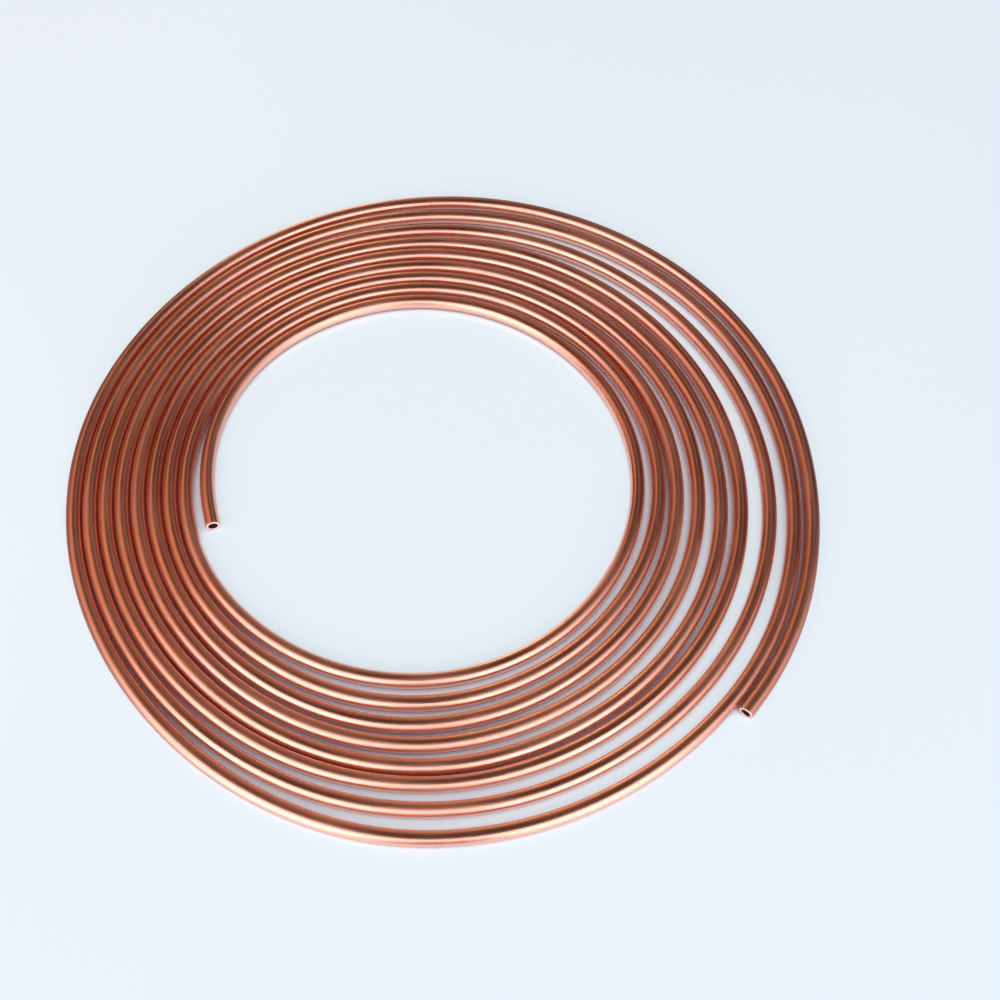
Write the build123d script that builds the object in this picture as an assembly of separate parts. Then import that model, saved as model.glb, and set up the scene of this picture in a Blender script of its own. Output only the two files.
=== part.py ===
"""Copper tube coil: one length of soft round tube, wound flat into an open spiral.

The coil lies on the plane z = 0 and is one layer high. Millimetres, +Z up, with
the origin under the middle of the coil's outline. The wound turns lie almost
against each other on the left and stand further apart on the other sides, as in
a coil that has been handled.

Both ends are straight, sawn square and open, with the tube's true round section.
Between them the nine turns repeat one plainer section: six flat sides, as high
and as wide as the tube, and solid.
"""

from build123d import *
import os
from math import ceil, radians

import numpy as np

# Tube stock
tube_od = 4.75
wall = 0.9
end_chamfer = 0.15  # outer lip of each sawn end
crown_width = 2.4  # flat top and bottom of the plainer section

# The coil has twelve sides, one at each hour of a clock face seen from above. They are taken
# clockwise from 8 o'clock, where the inner end is.
side_count = 12
side_turn = 360 / side_count
first_side = 210.0  # plan direction of 8 o'clock, in degrees from +X

# Distance from the winding centre to the centre line of the innermost turn, on each side
inner_turn = (73.6, 75.8, 76.2, 73.0, 69.2, 65.0, 63.1, 63.6, 65.9, 69.6, 73.7, 77.6)

# Clear gaps between neighbouring turns on each side, innermost pair first
gaps = (
    (2.9, 0.35, 0.35, 0.35, 0.35, 0.35, 0.35, 0.35),  # 8 o'clock
    (1.6, 0.35, 0.35, 0.25, 0.25, 0.2, 0.2, 0.3),  # 9
    (0.35, 0.3, 0.25, 0.2, 0.2, 0.2, 0.2, 0.25),  # 10
    (0.5, 0.2, 0.2, 0.4, 0.4, 0.7, 1.2, 0.7),  # 11
    (0.9, 0.2, 0.4, 0.8, 0.6, 1.4, 2.4, 1.95),  # 12
    (1.3, 0.4, 1.1, 1.0, 1.2, 3.1, 3.5, 2.0),  # 1
    (1.8, 0.4, 1.9, 1.5, 1.5, 4.0, 3.9, 2.1),  # 2
    (2.0, 1.0, 2.1, 2.3, 1.8, 4.3, 3.1, 1.1),  # 3
    (2.1, 1.7, 2.3, 2.9, 1.3, 3.6, 4.0, 0.6),  # 4
    (2.2, 1.8, 1.8, 2.2, 0.9, 3.1, 3.6, 0.6),  # 5
    (2.4, 1.9, 1.2, 1.6, 0.4, 2.6, 3.3, 0.6),  # 6
    (1.4, 1.1, 0.8, 0.9, 0.4, 1.5, 1.8, 1.0),  # 7
)

# Where the bending starts and stops, in degrees turned clockwise from 8 o'clock
inner_end = 13.0
outer_end = 3127.0
arc_turn = 22.5  # most that one arc of the route turns
straight_end = 6.0  # unbent length at each end


def spline_bends(values):
    """Second derivatives, per step, of the natural cubic spline through evenly spaced values."""
    count = len(values)
    matrix = 4 * np.eye(count) + np.eye(count, k=1) + np.eye(count, k=-1)
    matrix[0, 1] = matrix[-1, -2] = 0
    pull = np.zeros(count)
    pull[1:-1] = 6 * (values[2:] - 2 * values[1:-1] + values[:-2])
    return np.linalg.solve(matrix, pull)


def spline_at(place, values, bends):
    """Value and slope of that spline at a place counted in steps."""
    k = min(int(place), len(values) - 2)
    b = place - k
    a = 1 - b
    value = a * values[k] + b * values[k + 1]
    value += ((a**3 - a) * bends[k] + (b**3 - b) * bends[k + 1]) / 6
    slope = values[k + 1] - values[k]
    slope += ((1 - 3 * a**2) * bends[k] + (3 * b**2 - 1) * bends[k + 1]) / 6
    return value, slope


def winding_distances():
    """Distances of the centre line from the winding centre on every side it passes, outwards."""
    distances = list(inner_turn)
    for turn in zip(*gaps):
        for gap in turn:
            distances.append(distances[-side_count] + tube_od + gap)
    return np.array(distances)


def outward(turned):
    """Unit vector from the winding centre to the side of the coil that faces this way."""
    angle = radians(first_side - turned)
    return Vector(np.cos(angle), np.sin(angle))


def along(turned):
    """Unit vector along the tube, clockwise, where it has turned this far."""
    return outward(turned + 90)


def winding_point(turned, distances, bends):
    """Point of the centre line whose tangent faces this way."""
    distance, slope = spline_at(turned / side_turn, distances, bends)
    return outward(turned) * distance + along(turned) * (slope / radians(side_turn))


def arc_radii(step, start, middle, end):
    """Radii of two tangent arcs that make this step while they turn from start to middle to end."""
    first = outward(middle) - outward(start)
    second = outward(end) - outward(middle)
    whole = first.X * second.Y - first.Y * second.X
    return (
        (step.X * second.Y - step.Y * second.X) / whole,
        (first.X * step.Y - first.Y * step.X) / whole,
    )


def winding_arcs():
    """Centre line of the wound part in plan: pairs of tangent arcs through the winding points."""
    distances = winding_distances()
    bends = spline_bends(distances)
    pairs = ceil((outer_end - inner_end) / (2 * arc_turn))
    joints = np.linspace(inner_end, outer_end, pairs + 1)
    point = winding_point(inner_end, distances, bends)
    arcs = []
    for start, end in zip(joints, joints[1:]):
        middle = (start + end) / 2
        step = winding_point(end, distances, bends) - point
        radii = arc_radii(step, start, middle, end)
        for radius, here, there in zip(radii, (start, middle), (middle, end)):
            centre = point - outward(here) * radius
            halfway = centre + outward((here + there) / 2) * radius
            stop = centre + outward(there) * radius
            arcs.append(ThreePointArc(point, halfway, stop))
            point = stop
    return arcs


def section_plane(point, direction):
    """Plane square to the tube at this point, with its first axis upwards."""
    return Plane(origin=point, x_dir=(0, 0, 1), z_dir=direction)


def wound_turns(centre_line):
    """The turns as one solid sweep of the six-sided section."""
    half = tube_od / 2
    crown = crown_width / 2
    corners = ((half, crown), (0, half), (-half, crown), (-half, -crown), (0, -half), (half, -crown))
    plane = section_plane(centre_line @ 0, centre_line % 0)
    return sweep(plane * Polygon(*corners, align=None), path=centre_line)


def open_end(root, direction):
    """Straight round end of the tube, from the winding outwards, open at its real bore."""
    plane = section_plane(root, direction)
    bar = extrude(plane * Circle(tube_od / 2), straight_end)
    rim = bar.edges().filter_by(GeomType.CIRCLE).sort_by(Axis(root, direction))[-1]
    bar = chamfer(rim, end_chamfer)
    return bar - extrude(plane * Circle(tube_od / 2 - wall), straight_end)


def copper_tube():
    """The whole tube in its coil, resting on z = 0 with its outline centred on the origin."""
    centre_line = Wire(winding_arcs())
    tube = wound_turns(centre_line)
    tube += open_end(centre_line @ 0, -(centre_line % 0))
    tube += open_end(centre_line @ 1, centre_line % 1)
    box = tube.bounding_box()
    middle = box.center()
    return tube.moved(Location((-middle.X, -middle.Y, -box.min.Z)))


os.makedirs("parts", exist_ok=True)
export_step(copper_tube(), "parts/copper_tube.step")
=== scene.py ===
"""Copper tube coil: one length of bright soft copper tube wound flat into an open spiral.

The tube is worked out as a surface carried along the coil's centre line, with its round wall,
its bore and its sawn ends, and its metal follows the tube as it was before it was bent: draw
lines along it, a faint stretch of tarnish here and there, and the bright fresh metal of the cuts.
All lengths are in metres, apart from the winding's distances and gaps, which are in millimetres.
"""

import math

import bpy
import numpy as np
from bpy.props import FloatProperty, FloatVectorProperty, PointerProperty
from mathutils import Matrix, Vector


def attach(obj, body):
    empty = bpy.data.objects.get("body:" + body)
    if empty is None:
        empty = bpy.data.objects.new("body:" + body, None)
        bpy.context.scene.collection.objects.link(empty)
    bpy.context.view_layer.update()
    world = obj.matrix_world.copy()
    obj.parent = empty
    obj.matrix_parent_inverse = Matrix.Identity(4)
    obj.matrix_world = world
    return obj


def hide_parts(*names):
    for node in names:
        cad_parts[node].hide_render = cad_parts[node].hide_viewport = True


bl_info = {
    "name": "Copper tube coil",
    "version": (1, 0, 0),
    "blender": (4, 5, 0),
    "location": "View3D > Sidebar > Copper coil",
    "description": "Builds a flat coil of copper tube and a pale studio around it",
    "category": "Add Mesh",
}

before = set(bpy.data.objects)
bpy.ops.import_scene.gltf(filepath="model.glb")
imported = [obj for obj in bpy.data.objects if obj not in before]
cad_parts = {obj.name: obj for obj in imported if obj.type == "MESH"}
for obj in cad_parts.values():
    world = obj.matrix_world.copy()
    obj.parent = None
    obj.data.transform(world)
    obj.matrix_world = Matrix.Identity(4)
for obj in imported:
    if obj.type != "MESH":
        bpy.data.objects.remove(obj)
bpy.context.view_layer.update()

# Tube stock
TUBE_OD = 0.00475
WALL = 0.0009
LIP_OUTSIDE = 0.00015  # rounding of a sawn end's outer lip
LIP_INSIDE = 0.0001

# The coil's twelve sides, one at each hour of a clock face seen from above, clockwise from
# 8 o'clock, where the inner end is
SIDE_COUNT = 12
SIDE_TURN = 360 / SIDE_COUNT
FIRST_SIDE = 210.0  # plan direction of 8 o'clock, in degrees from +X
MILLIMETRE = 0.001

# Distance from the winding centre to the centre line of the innermost turn, on each side
INNER_TURN = (73.6, 75.8, 76.2, 73.0, 69.2, 65.0, 63.1, 63.6, 65.9, 69.6, 73.7, 77.6)

# Clear gaps between neighbouring turns on each side, innermost pair first
GAPS = (
    (2.9, 0.35, 0.35, 0.35, 0.35, 0.35, 0.35, 0.35),  # 8 o'clock
    (1.6, 0.35, 0.35, 0.25, 0.25, 0.2, 0.2, 0.3),  # 9
    (0.35, 0.3, 0.25, 0.2, 0.2, 0.2, 0.2, 0.25),  # 10
    (0.5, 0.2, 0.2, 0.4, 0.4, 0.7, 1.2, 0.7),  # 11
    (0.9, 0.2, 0.4, 0.8, 0.6, 1.4, 2.4, 1.95),  # 12
    (1.3, 0.4, 1.1, 1.0, 1.2, 3.1, 3.5, 2.0),  # 1
    (1.8, 0.4, 1.9, 1.5, 1.5, 4.0, 3.9, 2.1),  # 2
    (2.0, 1.0, 2.1, 2.3, 1.8, 4.3, 3.1, 1.1),  # 3
    (2.1, 1.7, 2.3, 2.9, 1.3, 3.6, 4.0, 0.6),  # 4
    (2.2, 1.8, 1.8, 2.2, 0.9, 3.1, 3.6, 0.6),  # 5
    (2.4, 1.9, 1.2, 1.6, 0.4, 2.6, 3.3, 0.6),  # 6
    (1.4, 1.1, 0.8, 0.9, 0.4, 1.5, 1.8, 1.0),  # 7
)
INNER_END = 13.0  # where the bending starts, in degrees turned clockwise from the first side
OUTER_END = 3127.0
ARC_TURN = 22.5  # most that one arc of the centre line turns
STRAIGHT_END = 0.006  # unbent length at each end
SKIN_INSET = 0.000015  # keeps the fine surface inside the plainer CAD model's box

# How finely the tube's surface is divided
AROUND = 36
OUTSIDE_TURN = 1.8  # degrees of bend between two rings of the outside
BORE_TURN = 4.5
STRAIGHT_RINGS = 2
LIP_RINGS = 4

# Patterns in the metal: how many cells of noise lie in a metre, along the straight tube and
# across it both ways
TARNISH_CELLS = (9, 120, 120)
SMUDGE_CELLS = (30, 300, 300)
LINE_CELLS = (25, 5200, 5200)
WAVE_CELLS = (55, 130, 130)
STREAK_CELLS = (8, 900, 900)
TARNISH_RANGE = (0.45, 0.75)  # noise at which the tarnish starts, and at which it is full
TARNISH_MOST = 0.6
SMUDGE_RANGE = (0.3, 0.8)
SMUDGE_BLUR = (0.8, 1.5)  # share of the set roughness where the metal is cleanest and most smudged
CUT_BLUR = 0.2  # roughness that the saw adds


def spline_bends(values):
    """Second derivatives, per step, of the natural cubic spline through evenly spaced values."""
    count = len(values)
    matrix = 4 * np.eye(count) + np.eye(count, k=1) + np.eye(count, k=-1)
    matrix[0, 1] = matrix[-1, -2] = 0
    pull = np.zeros(count)
    pull[1:-1] = 6 * (values[2:] - 2 * values[1:-1] + values[:-2])
    return np.linalg.solve(matrix, pull)


def spline_at(places, values, bends):
    """Values and slopes of that spline at places counted in steps."""
    k = np.minimum(places.astype(int), len(values) - 2)
    b = places - k
    a = 1 - b
    value = a * values[k] + b * values[k + 1]
    value += ((a**3 - a) * bends[k] + (b**3 - b) * bends[k + 1]) / 6
    slope = values[k + 1] - values[k]
    slope += ((1 - 3 * a**2) * bends[k] + (3 * b**2 - 1) * bends[k + 1]) / 6
    return value, slope


def winding_distances(tube_od):
    """Distances of the centre line from the winding centre on every side it passes, outwards.

    Each side lies one tube and one gap outside the same side a turn before it.
    """
    distances = [distance * MILLIMETRE for distance in INNER_TURN]
    for turn in zip(*GAPS):
        for gap in turn:
            distances.append(distances[-SIDE_COUNT] + tube_od + gap * MILLIMETRE)
    return np.array(distances)


def outward(turned):
    """Unit vectors from the winding centre to the sides that face these ways, in degrees turned."""
    angle = np.radians(FIRST_SIDE - turned)
    return np.stack((np.cos(angle), np.sin(angle)), axis=-1)


def along(turned):
    """Unit vectors along the tube, clockwise, where it has turned this far."""
    return outward(turned + 90)


def winding_points(turned, tube_od):
    """Points of the centre line at these turns: the distance outwards and its slope along."""
    distances = winding_distances(tube_od)
    distance, slope = spline_at(turned / SIDE_TURN, distances, spline_bends(distances))
    slope = slope / math.radians(SIDE_TURN)
    return outward(turned) * distance[:, None] + along(turned) * slope[:, None]


def cross(a, b):
    """Cross product of vectors in plan."""
    return a[:, 0] * b[:, 1] - a[:, 1] * b[:, 0]


class CentreLine:
    """The coil's centre line in plan: pairs of tangent arcs through the winding points."""

    def __init__(self, tube_od):
        pairs = math.ceil((OUTER_END - INNER_END) / (2 * ARC_TURN))
        joints = np.linspace(INNER_END, OUTER_END, pairs + 1)
        middles = (joints[1:] + joints[:-1]) / 2
        points = winding_points(joints, tube_od)
        step = np.diff(points, axis=0)
        first = outward(middles) - outward(joints[:-1])
        second = outward(joints[1:]) - outward(middles)
        whole = cross(first, second)
        radii = np.stack((cross(step, second) / whole, cross(first, step) / whole), axis=1)
        halfway = points[:-1] + first * radii[:, :1]
        starts = np.stack((points[:-1], halfway), axis=1).reshape(-1, 2)
        self.turns = np.append(np.stack((joints[:-1], middles), axis=1).ravel(), OUTER_END)
        self.radii = radii.ravel()
        self.centres = starts - outward(self.turns[:-1]) * self.radii[:, None]
        lengths = np.radians(np.diff(self.turns)) * self.radii
        self.run = np.append(0, np.cumsum(lengths))

    def at(self, turned):
        """Points of the arcs at these turns, and how far along the tube they lie."""
        arc = np.clip(np.searchsorted(self.turns, turned, side="right") - 1, 0, len(self.radii) - 1)
        points = self.centres[arc] + outward(turned) * self.radii[arc, None]
        run = self.run[arc] + np.radians(turned - self.turns[arc]) * self.radii[arc]
        return points, run


def straight_tail(line, turned, lengths):
    """Points beyond one end of the arcs, these lengths outwards along its tangent."""
    root, run = line.at(np.array([turned]))
    way = 1.0 if turned == OUTER_END else -1.0
    points = root + along(np.array([turned])) * (way * lengths)[:, None]
    return points, run + way * lengths


def outline_middle(line, tube_od):
    """Middle of the coil's outline in plan, from the winding centre.

    The outline reaches furthest where the tube faces straight along an axis, or at a cut end.
    """
    turns = np.arange(FIRST_SIDE % 90, OUTER_END, 90)
    turns = turns[turns > INNER_END]
    tips = [straight_tail(line, turned, np.array([STRAIGHT_END]))[0] for turned in (INNER_END, OUTER_END)]
    points = np.concatenate((line.at(turns)[0], *tips))
    reach = outward(np.append(turns, (INNER_END, OUTER_END))) * tube_od / 2
    plan = np.concatenate((points + reach, points - reach))
    return (plan.max(axis=0) + plan.min(axis=0)) / 2


def skin_rings(line, spacing, straight):
    """Ring centres, turns and runs of one skin of the tube, from the inner end to the outer end."""
    turns = np.linspace(INNER_END, OUTER_END, math.ceil((OUTER_END - INNER_END) / spacing) + 1)
    points, run = line.at(turns)
    reach = np.linspace(straight, 0, STRAIGHT_RINGS, endpoint=False)
    head, head_run = straight_tail(line, INNER_END, reach)
    tail, tail_run = straight_tail(line, OUTER_END, reach[::-1])
    centres = np.concatenate((head, points, tail))
    ring_turns = np.concatenate((np.full(len(head), INNER_END), turns, np.full(len(tail), OUTER_END)))
    return centres, ring_turns, np.concatenate((head_run, run, tail_run))


def lip_profile(tube_od, wall):
    """Half section of a sawn end, from outside to bore: radii, and depths back from the cut.

    A quarter circle rounds the outer lip, a smaller one the inner, with the flat cut between.
    """
    sweep = np.linspace(0, math.pi / 2, LIP_RINGS)
    outer, bore = tube_od / 2 - SKIN_INSET, tube_od / 2 - wall
    radii = np.concatenate((
        outer - LIP_OUTSIDE * (1 - np.cos(sweep)),
        [outer - wall / 2],
        bore + LIP_INSIDE * (1 - np.sin(sweep)),
    ))
    depths = np.concatenate((
        LIP_OUTSIDE * (1 - np.sin(sweep)),
        [0.0],
        LIP_INSIDE * (1 - np.cos(sweep)),
    ))
    return radii, depths


def tube_rings(tube_od, wall):
    """All rings of the tube's surface, in one closed loop.

    Along the outside from the inner end to the outer end, over the outer end's cut into the bore,
    back through the bore, and over the inner end's cut. Each ring has a centre in plan, the turn
    that says which way it faces, its run along the tube, a radius, a share of cut metal and
    whether it lies inside the bore.
    """
    line = CentreLine(tube_od)
    radii, depths = lip_profile(tube_od, wall)
    outside = skin_rings(line, OUTSIDE_TURN, STRAIGHT_END - 2 * LIP_OUTSIDE)
    bore = [part[::-1] for part in skin_rings(line, BORE_TURN, STRAIGHT_END - 2 * LIP_INSIDE)]
    outer_cut, outer_run = straight_tail(line, OUTER_END, STRAIGHT_END - depths)
    inner_cut, inner_run = straight_tail(line, INNER_END, STRAIGHT_END - depths[::-1])
    count = len(depths)
    ends = (np.full(count, OUTER_END), np.full(count, INNER_END))
    centres = np.concatenate((outside[0], outer_cut, bore[0], inner_cut))
    turns = np.concatenate((outside[1], ends[0], bore[1], ends[1]))
    run = np.concatenate((outside[2], outer_run, bore[2], inner_run))
    radius = np.concatenate((
        np.full(len(outside[0]), tube_od / 2 - SKIN_INSET),
        radii,
        np.full(len(bore[0]), tube_od / 2 - wall),
        radii[::-1],
    ))
    on_cut = np.ones(count)
    cut = np.concatenate((np.zeros(len(outside[0])), on_cut, np.zeros(len(bore[0])), on_cut))
    inside = np.concatenate((np.zeros(len(outside[0]) + count), np.ones(len(bore[0])), np.zeros(count)))
    centres = centres - outline_middle(line, tube_od)
    return centres, turns, run, radius, cut, inside


def closed_grid_faces(rows, columns):
    """Four-sided faces of a grid whose rows and columns both run round and meet."""
    row, column = np.meshgrid(np.arange(rows), np.arange(columns), indexing="ij")
    next_row, next_column = (row + 1) % rows, (column + 1) % columns
    corners = (row * columns + column, row * columns + next_column,
               next_row * columns + next_column, next_row * columns + column)
    return np.stack(corners, axis=-1).reshape(-1, 4)


def mesh_from(name, points, faces):
    """A smooth-shaded mesh from arrays of points and four-sided faces."""
    mesh = bpy.data.meshes.new(name)
    mesh.vertices.add(len(points))
    mesh.vertices.foreach_set("co", points.astype(np.float32).ravel())
    mesh.loops.add(faces.size)
    mesh.loops.foreach_set("vertex_index", faces.astype(np.int32).ravel())
    mesh.polygons.add(len(faces))
    mesh.polygons.foreach_set("loop_start", np.arange(0, faces.size, 4, dtype=np.int32))
    mesh.polygons.foreach_set("use_smooth", np.ones(len(faces), dtype=bool))
    mesh.update()
    mesh.validate()
    return mesh


def point_attribute(mesh, name, values):
    """Stores one number or one vector for each point of a mesh."""
    vector = values.ndim == 2
    kind = "FLOAT_VECTOR" if vector else "FLOAT"
    attribute = mesh.attributes.new(name, kind, "POINT")
    attribute.data.foreach_set("vector" if vector else "value", values.astype(np.float32).ravel())


def tube_mesh(tube_od, wall):
    """The bent tube's whole surface.

    A point is its ring's centre, plus the ring's radius times the cosine of the way round
    outwards and the sine upwards. The same two offsets, with the run along the tube, give the
    point's place on the straight tube, which the metal's pattern follows.
    """
    centres, turns, run, radius, cut, inside = tube_rings(tube_od, wall)
    way = np.linspace(0, 2 * math.pi, AROUND, endpoint=False)
    across = radius[:, None] * np.cos(way)
    height = radius[:, None] * np.sin(way)
    plan = centres[:, None, :] + outward(turns)[:, None, :] * across[..., None]
    points = np.concatenate((plan, (height + tube_od / 2)[..., None]), axis=-1)
    straight = np.stack((np.broadcast_to(run[:, None], across.shape), across, height), axis=-1)
    mesh = mesh_from("copper_tube_skin", points.reshape(-1, 3), closed_grid_faces(*across.shape))
    point_attribute(mesh, "straight_place", straight.reshape(-1, 3))
    point_attribute(mesh, "cut", np.repeat(cut, AROUND))
    point_attribute(mesh, "inside", np.repeat(inside, AROUND))
    return mesh


class Nodes:
    """Short ways to add and join shader nodes of one material or world."""

    def __init__(self, owner):
        owner.use_nodes = True
        self.tree = owner.node_tree
        self.tree.nodes.clear()

    def add(self, kind, **settings):
        """A new node, with its properties set by name."""
        node = self.tree.nodes.new(kind)
        for name, value in settings.items():
            setattr(node, name, value)
        return node

    def feed(self, socket, value):
        """Joins an output to this input, or sets the input to a plain value."""
        if isinstance(value, bpy.types.NodeSocket):
            self.tree.links.new(value, socket)
        else:
            socket.default_value = value

    def attribute(self, name):
        """An attribute of the piece's own mesh."""
        return self.add("ShaderNodeAttribute", attribute_name=name)

    def noise(self, vector, cells, detail=2.0, roughness=0.5):
        """Smooth noise, from 0 to 1, with this many cells in a metre along each axis."""
        mapping = self.add("ShaderNodeMapping")
        self.feed(mapping.inputs["Vector"], vector)
        mapping.inputs["Scale"].default_value = cells
        noise = self.add("ShaderNodeTexNoise")
        self.feed(noise.inputs["Vector"], mapping.outputs[0])
        noise.inputs["Scale"].default_value = 1.0
        noise.inputs["Detail"].default_value = detail
        noise.inputs["Roughness"].default_value = roughness
        return noise.outputs["Fac"]

    def spread(self, value, low, high, to_low=0.0, to_high=1.0):
        """A value carried from one range to another, with soft ends."""
        node = self.add("ShaderNodeMapRange", interpolation_type="SMOOTHSTEP")
        self.feed(node.inputs["Value"], value)
        node.inputs["From Min"].default_value = low
        node.inputs["From Max"].default_value = high
        node.inputs["To Min"].default_value = to_low
        node.inputs["To Max"].default_value = to_high
        return node.outputs[0]

    def calculate(self, a, operation, b):
        """Two numbers put together by one operation."""
        node = self.add("ShaderNodeMath", operation=operation)
        self.feed(node.inputs[0], a)
        self.feed(node.inputs[1], b)
        return node.outputs[0]

    def mix(self, share, a, b):
        """One colour turning into another. Colours are the node's inputs 6 and 7 and its output 2."""
        node = self.add("ShaderNodeMix", data_type="RGBA")
        self.feed(node.inputs[0], share)
        self.feed(node.inputs[6], a)
        self.feed(node.inputs[7], b)
        return node.outputs[2]

    def bump(self, height, distance, under=None):
        """A bumped normal from a height in 0 to 1, on top of another one."""
        node = self.add("ShaderNodeBump")
        self.feed(node.inputs["Height"], height)
        node.inputs["Distance"].default_value = distance
        if under is not None:
            self.feed(node.inputs["Normal"], under)
        return node.outputs[0]


def copper(settings):
    """Bright drawn copper: its colour, shine and fine marks follow the straight tube."""
    material = bpy.data.materials.new("bright_copper")
    nodes = Nodes(material)
    place = nodes.attribute("straight_place").outputs["Vector"]
    cut = nodes.attribute("cut").outputs["Fac"]
    inside = nodes.attribute("inside").outputs["Fac"]

    tarnish = nodes.noise(place, TARNISH_CELLS, detail=3.0)
    tarnish = nodes.spread(tarnish, *TARNISH_RANGE, 0.0, TARNISH_MOST)
    colour = nodes.mix(tarnish, (*settings.metal_colour, 1), (*settings.tarnish_colour, 1))
    colour = nodes.mix(inside, colour, (*settings.bore_colour, 1))
    colour = nodes.mix(cut, colour, (*settings.cut_colour, 1))

    smudge = nodes.noise(place, SMUDGE_CELLS, detail=4.0, roughness=0.6)
    roughness = nodes.spread(smudge, *SMUDGE_RANGE, *(settings.roughness * share for share in SMUDGE_BLUR))
    roughness = nodes.calculate(roughness, "ADD", nodes.calculate(cut, "MULTIPLY", CUT_BLUR))

    lines = nodes.noise(place, LINE_CELLS, detail=3.0, roughness=0.7)
    waves = nodes.noise(place, WAVE_CELLS, detail=1.0)
    streaks = nodes.noise(place, STREAK_CELLS)
    normal = nodes.bump(waves, settings.wave_depth)
    normal = nodes.bump(streaks, settings.streak_depth, normal)
    normal = nodes.bump(lines, settings.line_depth, normal)

    shader = nodes.add("ShaderNodeBsdfPrincipled")
    shader.inputs["Metallic"].default_value = 1.0
    nodes.feed(shader.inputs["Base Color"], colour)
    nodes.feed(shader.inputs["Roughness"], roughness)
    nodes.feed(shader.inputs["Normal"], normal)
    shader.inputs["Specular Tint"].default_value = (*settings.rim_colour, 1)
    output = nodes.add("ShaderNodeOutputMaterial")
    nodes.feed(output.inputs["Surface"], shader.outputs[0])
    return material


class CoilSettings(bpy.types.PropertyGroup):
    """Sizes and colours of the copper tube."""

    tube_od: FloatProperty(
        name="Outside diameter", description="Outside diameter of the tube",
        default=TUBE_OD, min=0.001, unit="LENGTH", precision=5,
    )
    wall: FloatProperty(
        name="Wall", description="Thickness of the tube's wall",
        default=WALL, min=0.0002, unit="LENGTH", precision=5,
    )
    metal_colour: FloatVectorProperty(
        name="Metal", description="Colour of the bright metal",
        default=(0.95, 0.51, 0.37), subtype="COLOR", min=0, max=1,
    )
    tarnish_colour: FloatVectorProperty(
        name="Tarnish", description="Colour where the metal has begun to darken",
        default=(0.86, 0.42, 0.28), subtype="COLOR", min=0, max=1,
    )
    bore_colour: FloatVectorProperty(
        name="Bore", description="Colour of the duller metal inside the tube",
        default=(0.45, 0.22, 0.15), subtype="COLOR", min=0, max=1,
    )
    cut_colour: FloatVectorProperty(
        name="Cut", description="Colour of the fresh metal at the sawn ends",
        default=(0.96, 0.70, 0.60), subtype="COLOR", min=0, max=1,
    )
    rim_colour: FloatVectorProperty(
        name="Rim", description="Tint of what the metal mirrors where it is seen edge on",
        default=(0.92, 0.82, 0.84), subtype="COLOR", min=0, max=1,
    )
    roughness: FloatProperty(
        name="Roughness", description="How much the metal blurs what it mirrors",
        default=0.33, min=0, max=1, subtype="FACTOR",
    )
    line_depth: FloatProperty(
        name="Draw lines", description="Depth of the fine lines along the tube",
        default=0.0000025, min=0, unit="LENGTH", precision=6,
    )
    streak_depth: FloatProperty(
        name="Streaks", description="Depth of the broader streaks that drawing leaves along the tube",
        default=0.000022, min=0, unit="LENGTH", precision=6,
    )
    wave_depth: FloatProperty(
        name="Waves", description="Depth of the slight unevenness left by bending",
        default=0.00003, min=0, unit="LENGTH", precision=6,
    )


class StudioSettings(bpy.types.PropertyGroup):
    """Floor, room and lamps."""

    floor_colour: FloatVectorProperty(
        name="Floor", description="Colour of the floor",
        default=(0.77, 0.885, 0.95), subtype="COLOR", min=0, max=1,
    )
    floor_share: FloatProperty(
        name="Floor share", description="How much of the lamps' light the floor gives back",
        default=0.34, min=0, max=1, subtype="FACTOR",
    )
    floor_roughness: FloatProperty(
        name="Floor roughness", description="How much the floor blurs what it mirrors",
        default=0.25, min=0, max=1, subtype="FACTOR",
    )
    floor_glow: FloatProperty(
        name="Floor glow", description="Light that the floor adds to its own colour where it is seen",
        default=0.78, min=0, max=1, subtype="FACTOR",
    )
    # Painted light: a glowing pool on the floor that only the metal's reflections see, not a lamp
    painted_pool_light: FloatVectorProperty(
        name="Mirrored pool", description="What the metal mirrors of the floor in the middle of the studio",
        default=(0.64, 0.80, 1.0), subtype="COLOR", min=0, max=1,
    )
    # Painted shade in reflections: the metal mirrors the floor further out much darker than it is seen
    painted_mirror_shade: FloatVectorProperty(
        name="Mirrored floor", description="What the metal mirrors of the floor further out",
        default=(0.13, 0.10, 0.15), subtype="COLOR", min=0, max=1,
    )
    # Painted shade on the floor beside the tube, tinted like light thrown from the copper
    shade_colour: FloatVectorProperty(
        name="Shade colour", description="Colour that the copper throws on the floor beside it",
        default=(0.62, 0.25, 0.28), subtype="COLOR", min=0, max=1,
    )
    shade_reach: FloatProperty(
        name="Shade", description="How far from the tube the floor's own light starts to fade",
        default=0.005, min=0.001, unit="LENGTH", precision=4,
    )
    room_light: FloatProperty(
        name="Room", description="Brightness of the room around the studio",
        default=0.055, min=0,
    )
    lamp_light: FloatProperty(
        name="Lamps", description="Share of the lamps' full brightness",
        default=1.0, min=0,
    )


class COPPER_COIL_OT_tube(bpy.types.Operator):
    """Build the coiled copper tube in place of the plain solid"""

    bl_idname = "copper_coil.tube"
    bl_label = "Copper tube"

    def execute(self, context):
        settings = context.scene.copper_coil
        tube = bpy.data.objects.new("copper_tube_skin", tube_mesh(settings.tube_od, settings.wall))
        context.scene.collection.objects.link(tube)
        tube.data.materials.append(copper(settings))
        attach(tube, "root")
        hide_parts("copper_tube")
        return {"FINISHED"}


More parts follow.
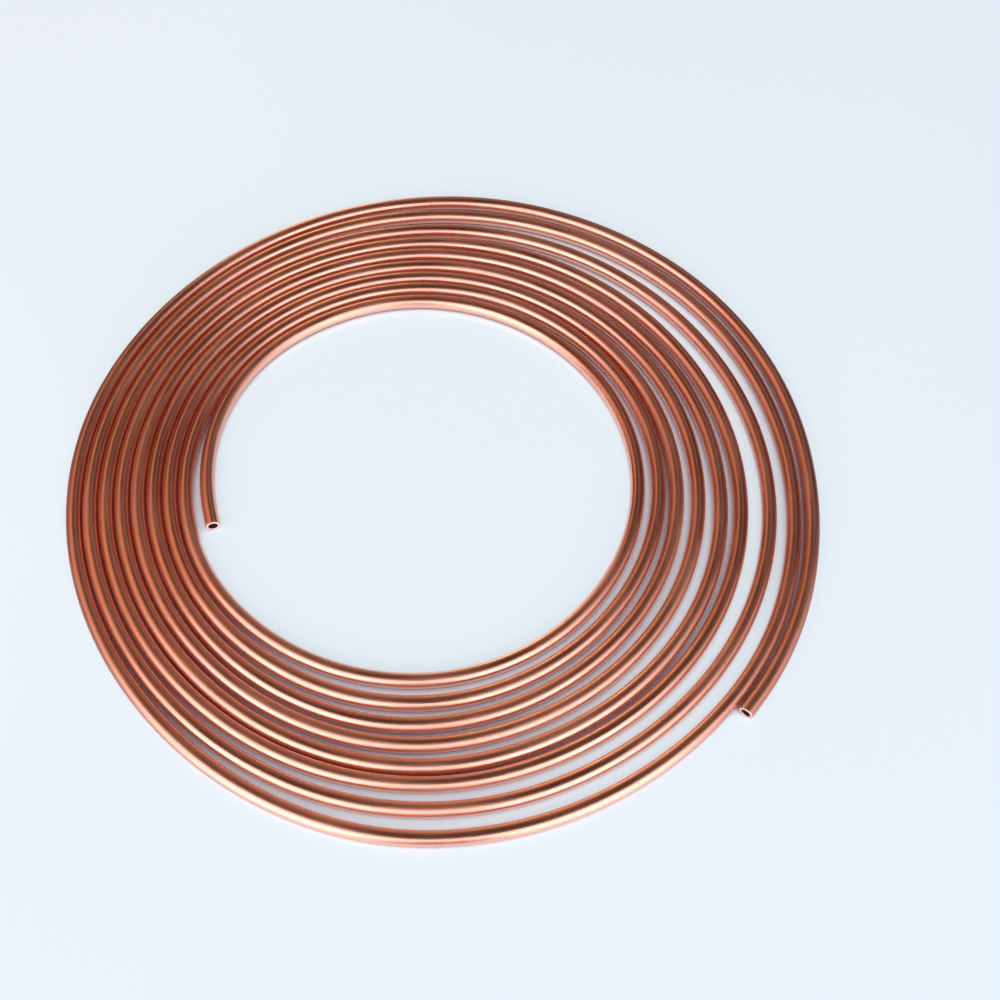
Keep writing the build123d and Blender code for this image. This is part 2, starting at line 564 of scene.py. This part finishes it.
# Lamps, each with its direction from the coil and its height above the floor, both in degrees, half
# of the angle that it fills across and upwards, its brightness, where 1 is white, and its colour.
# The core of a front lamp adds to the middle of the large one, which then fades towards its edges.
COOL_WHITE = (0.98, 0.92, 1.0)
WARM = (1.0, 0.47, 0.25)
GOLDEN = (1.0, 0.84, 0.48)
ROSE = (1.0, 0.70, 0.62)
DUSK = (1.0, 0.46, 0.36)
MAUVE = (1.0, 0.60, 0.72)
LAMPS = (
    ("lamp_front_left", 228.0, 32.0, 32.0, 32.0, 1.35, COOL_WHITE),
    ("lamp_front_left_core", 232.0, 24.0, 21.0, 22.0, 1.6, COOL_WHITE),
    ("lamp_front_right", 310.0, 30.0, 27.0, 30.0, 1.35, COOL_WHITE),
    ("lamp_front_right_core", 306.0, 22.0, 18.0, 20.0, 1.6, COOL_WHITE),
    ("lamp_front", 270.0, 26.0, 14.0, 26.0, 0.2, COOL_WHITE),
    ("lamp_back_strip", 108.0, 8.0, 9.0, 8.0, 2.6, GOLDEN),
    ("lamp_back_left", 117.0, 32.0, 12.0, 13.0, 0.42, WARM),
    ("lamp_left", 180.0, 30.0, 18.0, 15.0, 0.62, WARM),
    ("lamp_over_left", 148.0, 47.0, 14.0, 12.0, 0.7, WARM),
    ("lamp_right", 354.0, 18.0, 14.0, 18.0, 0.65, ROSE),
    ("lamp_back", 80.0, 30.0, 20.0, 20.0, 0.2, ROSE),
    ("lamp_back_right", 40.0, 50.0, 20.0, 10.0, 0.15, MAUVE),
)
LAMP_DISTANCE = 1.2
SHADE_CLOSED = 0.08  # share of open sky up to which the floor doesn't glow and wears the full painted shade
SHADE_OPEN = 0.55  # share from which it glows in full
MIRRORED_CLOSED = 0.05  # the same two shares for the floor that the metal mirrors
MIRRORED_OPEN = 0.50
MIRRORED_SHADE = (0.10, 0.035, 0.035, 1.0)  # painted shade that the metal mirrors where the floor is shut in between turns
SKY_SAMPLES = 8
POOL_STRETCH = (1.3, 0.85, 0.0)  # the painted pool of light that the metal mirrors is an oval, longer from front to back
POOL_SHIFT = (-0.01, 0.01, 0.0)
POOL_BRIGHT = 0.09  # how far from its middle the pool is still as bright
POOL_END = 0.16
BLACK = (0.0, 0.0, 0.0, 1.0)
FLOOR_REACH = 6.0
FLOOR_DROP = 0.00002  # keeps the floor just clear of the tube

# Where the picture is taken from. The winding's centre shows at this pixel of a picture of 1000
# by 1000.
PICTURE_SIZE = 1000.0
CENTRE_PIXEL = (441.5, 473.0)
FOCAL_PIXELS = 1280.0
CAMERA_HEIGHT = 59.7  # degrees above the horizon
CAMERA_ROLL = 1.5
CAMERA_DISTANCE = 0.4179  # from the winding's centre
SENSOR = 36.0  # millimetres, as Blender counts it
NEAREST = 0.01
FARTHEST = 20.0


def floor_material(settings):
    """A satin pale floor that adds a light of its own where it is seen or mirrored.

    Beside the tube, where little open sky is left, its colour and glow fade to a painted shade, tinted like
    light thrown from the copper.
    The metal mirrors a painted oval pool of light on it, which gets dim between two distances from its
    middle, and beyond it a floor painted dim.
    """
    material = bpy.data.materials.new("pale_floor")
    nodes = Nodes(material)
    open_sky = nodes.add("ShaderNodeAmbientOcclusion", samples=SKY_SAMPLES)
    open_sky.inputs["Distance"].default_value = settings.shade_reach
    # Painted shade: beside the tube the floor's colour, glow and shine fade with the share of open sky left
    open_share = nodes.spread(open_sky.outputs["AO"], SHADE_CLOSED, SHADE_OPEN)
    colour = nodes.mix(open_share, (*settings.shade_colour, 1), (*settings.floor_colour, 1))
    satin = nodes.add("ShaderNodeBsdfPrincipled")
    nodes.feed(satin.inputs["Base Color"], nodes.mix(settings.floor_share, BLACK, colour))
    satin.inputs["Roughness"].default_value = settings.floor_roughness
    nodes.feed(satin.inputs["Specular IOR Level"], open_share)
    # Painted light for the metal's reflections: an oval pool, bright in the middle and dim further out
    place = nodes.add("ShaderNodeVectorMath", operation="MULTIPLY_ADD")
    nodes.feed(place.inputs[0], nodes.add("ShaderNodeTexCoord").outputs["Object"])
    place.inputs[1].default_value = POOL_STRETCH
    place.inputs[2].default_value = POOL_SHIFT
    away = nodes.add("ShaderNodeVectorMath", operation="LENGTH")
    nodes.feed(away.inputs[0], place.outputs[0])
    dimness = nodes.spread(away.outputs["Value"], POOL_BRIGHT, POOL_END)
    # Painted reflection of the floor: the pool of light in the middle, painted shade further out
    mirrored = nodes.mix(dimness, (*settings.painted_pool_light, 1), (*settings.painted_mirror_shade, 1))
    # Painted shade in reflections where the floor is shut in between turns
    mirrored_share = nodes.spread(open_sky.outputs["AO"], MIRRORED_CLOSED, MIRRORED_OPEN)
    mirrored = nodes.mix(mirrored_share, MIRRORED_SHADE, mirrored)
    own = nodes.mix(nodes.calculate(open_share, "MULTIPLY", settings.floor_glow), BLACK, colour)
    rays = nodes.add("ShaderNodeLightPath").outputs
    direct = nodes.calculate(rays["Is Camera Ray"], "MAXIMUM", rays["Is Transmission Ray"])
    seen = nodes.mix(direct, BLACK, own)
    seen = nodes.mix(rays["Is Glossy Ray"], seen, mirrored)
    glow = nodes.add("ShaderNodeEmission")
    nodes.feed(glow.inputs["Color"], seen)
    both = nodes.add("ShaderNodeAddShader")
    nodes.feed(both.inputs[0], satin.outputs[0])
    nodes.feed(both.inputs[1], glow.outputs[0])
    output = nodes.add("ShaderNodeOutputMaterial")
    nodes.feed(output.inputs["Surface"], both.outputs[0])
    return material


def floor_object(settings):
    """A wide flat floor just under the coil."""
    corners = np.array([(-1, -1, 0), (1, -1, 0), (1, 1, 0), (-1, 1, 0)]) * FLOOR_REACH
    corners = corners - (0, 0, FLOOR_DROP)
    floor = bpy.data.objects.new("floor", mesh_from("floor", corners, np.array([[0, 1, 2, 3]])))
    floor.data.materials.append(floor_material(settings))
    return floor


def lamp_object(name, direction, height, half_across, half_up, brightness, colour):
    """A soft rectangular lamp that faces the coil, as bright as written whatever its size."""
    wide, tall = (2 * LAMP_DISTANCE * math.tan(math.radians(half)) for half in (half_across, half_up))
    data = bpy.data.lights.new(name, "AREA")
    data.shape = "RECTANGLE"
    data.size, data.size_y = wide, tall
    data.energy = brightness * math.pi * wide * tall
    data.color = colour
    lamp = bpy.data.objects.new(name, data)
    bearing, climb = math.radians(direction), math.radians(height)
    level = math.cos(climb)
    back = Vector((math.cos(bearing) * level, math.sin(bearing) * level, math.sin(climb)))
    lamp.location = back * LAMP_DISTANCE
    lamp.rotation_euler = back.to_track_quat("Z", "Y").to_euler()
    return lamp


def camera_object():
    """The camera, so that the winding's centre shows where it does in the picture."""
    climb, roll = math.radians(CAMERA_HEIGHT), math.radians(CAMERA_ROLL)
    back = Vector((0, -math.cos(climb), math.sin(climb)))
    right = Vector((1, 0, 0))
    up = back.cross(right)
    right, up = (
        right * math.cos(roll) + up * math.sin(roll),
        up * math.cos(roll) - right * math.sin(roll),
    )
    half = PICTURE_SIZE / 2
    sight = Vector(((CENTRE_PIXEL[0] - half) / FOCAL_PIXELS, (half - CENTRE_PIXEL[1]) / FOCAL_PIXELS, -1))
    sight = sight.normalized() * CAMERA_DISTANCE
    middle = outline_middle(CentreLine(TUBE_OD), TUBE_OD)
    eye = Vector((-middle[0], -middle[1], 0)) - (right * sight.x + up * sight.y + back * sight.z)
    data = bpy.data.cameras.new("camera")
    data.sensor_width = SENSOR
    data.lens = FOCAL_PIXELS / PICTURE_SIZE * SENSOR
    data.clip_start, data.clip_end = NEAREST, FARTHEST
    camera = bpy.data.objects.new("camera", data)
    turn = Matrix((right, up, back)).transposed()
    camera.matrix_world = Matrix.Translation(eye) @ turn.to_4x4()
    return camera


def room(settings):
    """A plain dim warm room around the studio."""
    world = bpy.data.worlds.new("room")
    nodes = Nodes(world)
    back = nodes.add("ShaderNodeBackground")
    level = settings.room_light
    back.inputs["Color"].default_value = (*(channel * level for channel in DUSK), 1)
    output = nodes.add("ShaderNodeOutputWorld")
    nodes.feed(output.inputs["Surface"], back.outputs[0])
    return world


class COPPER_COIL_OT_studio(bpy.types.Operator):
    """Build the floor, the lamps and the camera"""

    bl_idname = "copper_coil.studio"
    bl_label = "Studio"

    def execute(self, context):
        scene = context.scene
        settings = scene.copper_studio
        floor = floor_object(settings)
        scene.collection.objects.link(floor)
        for name, *place, brightness, colour in LAMPS:
            lamp = lamp_object(name, *place, brightness * settings.lamp_light, colour)
            scene.collection.objects.link(lamp)
        camera = camera_object()
        scene.collection.objects.link(camera)
        scene.camera = camera
        scene.world = room(settings)
        scene.view_settings.view_transform = "Standard"
        return {"FINISHED"}


class COPPER_COIL_PT_panel(bpy.types.Panel):
    """Lists the coil's and the studio's settings and builders"""

    bl_idname = "COPPER_COIL_PT_panel"
    bl_label = "Copper coil"
    bl_space_type = "VIEW_3D"
    bl_region_type = "UI"
    bl_category = "Copper coil"

    def draw(self, context):
        for group, operator in (
            (context.scene.copper_coil, COPPER_COIL_OT_tube),
            (context.scene.copper_studio, COPPER_COIL_OT_studio),
        ):
            box = self.layout.box()
            for name in group.__annotations__:
                box.prop(group, name)
            box.operator(operator.bl_idname)


CLASSES = (CoilSettings, StudioSettings, COPPER_COIL_OT_tube, COPPER_COIL_OT_studio, COPPER_COIL_PT_panel)


def register():
    """Adds the settings, the builders and the panel to Blender."""
    for each in CLASSES:
        bpy.utils.register_class(each)
    bpy.types.Scene.copper_coil = PointerProperty(type=CoilSettings)
    bpy.types.Scene.copper_studio = PointerProperty(type=StudioSettings)


def unregister():
    """Takes them away again."""
    del bpy.types.Scene.copper_studio
    del bpy.types.Scene.copper_coil
    for each in reversed(CLASSES):
        bpy.utils.unregister_class(each)


def main():
    """Builds the coil and its studio."""
    register()
    bpy.ops.copper_coil.tube()
    bpy.ops.copper_coil.studio()


if __name__ == "__main__":
    main()
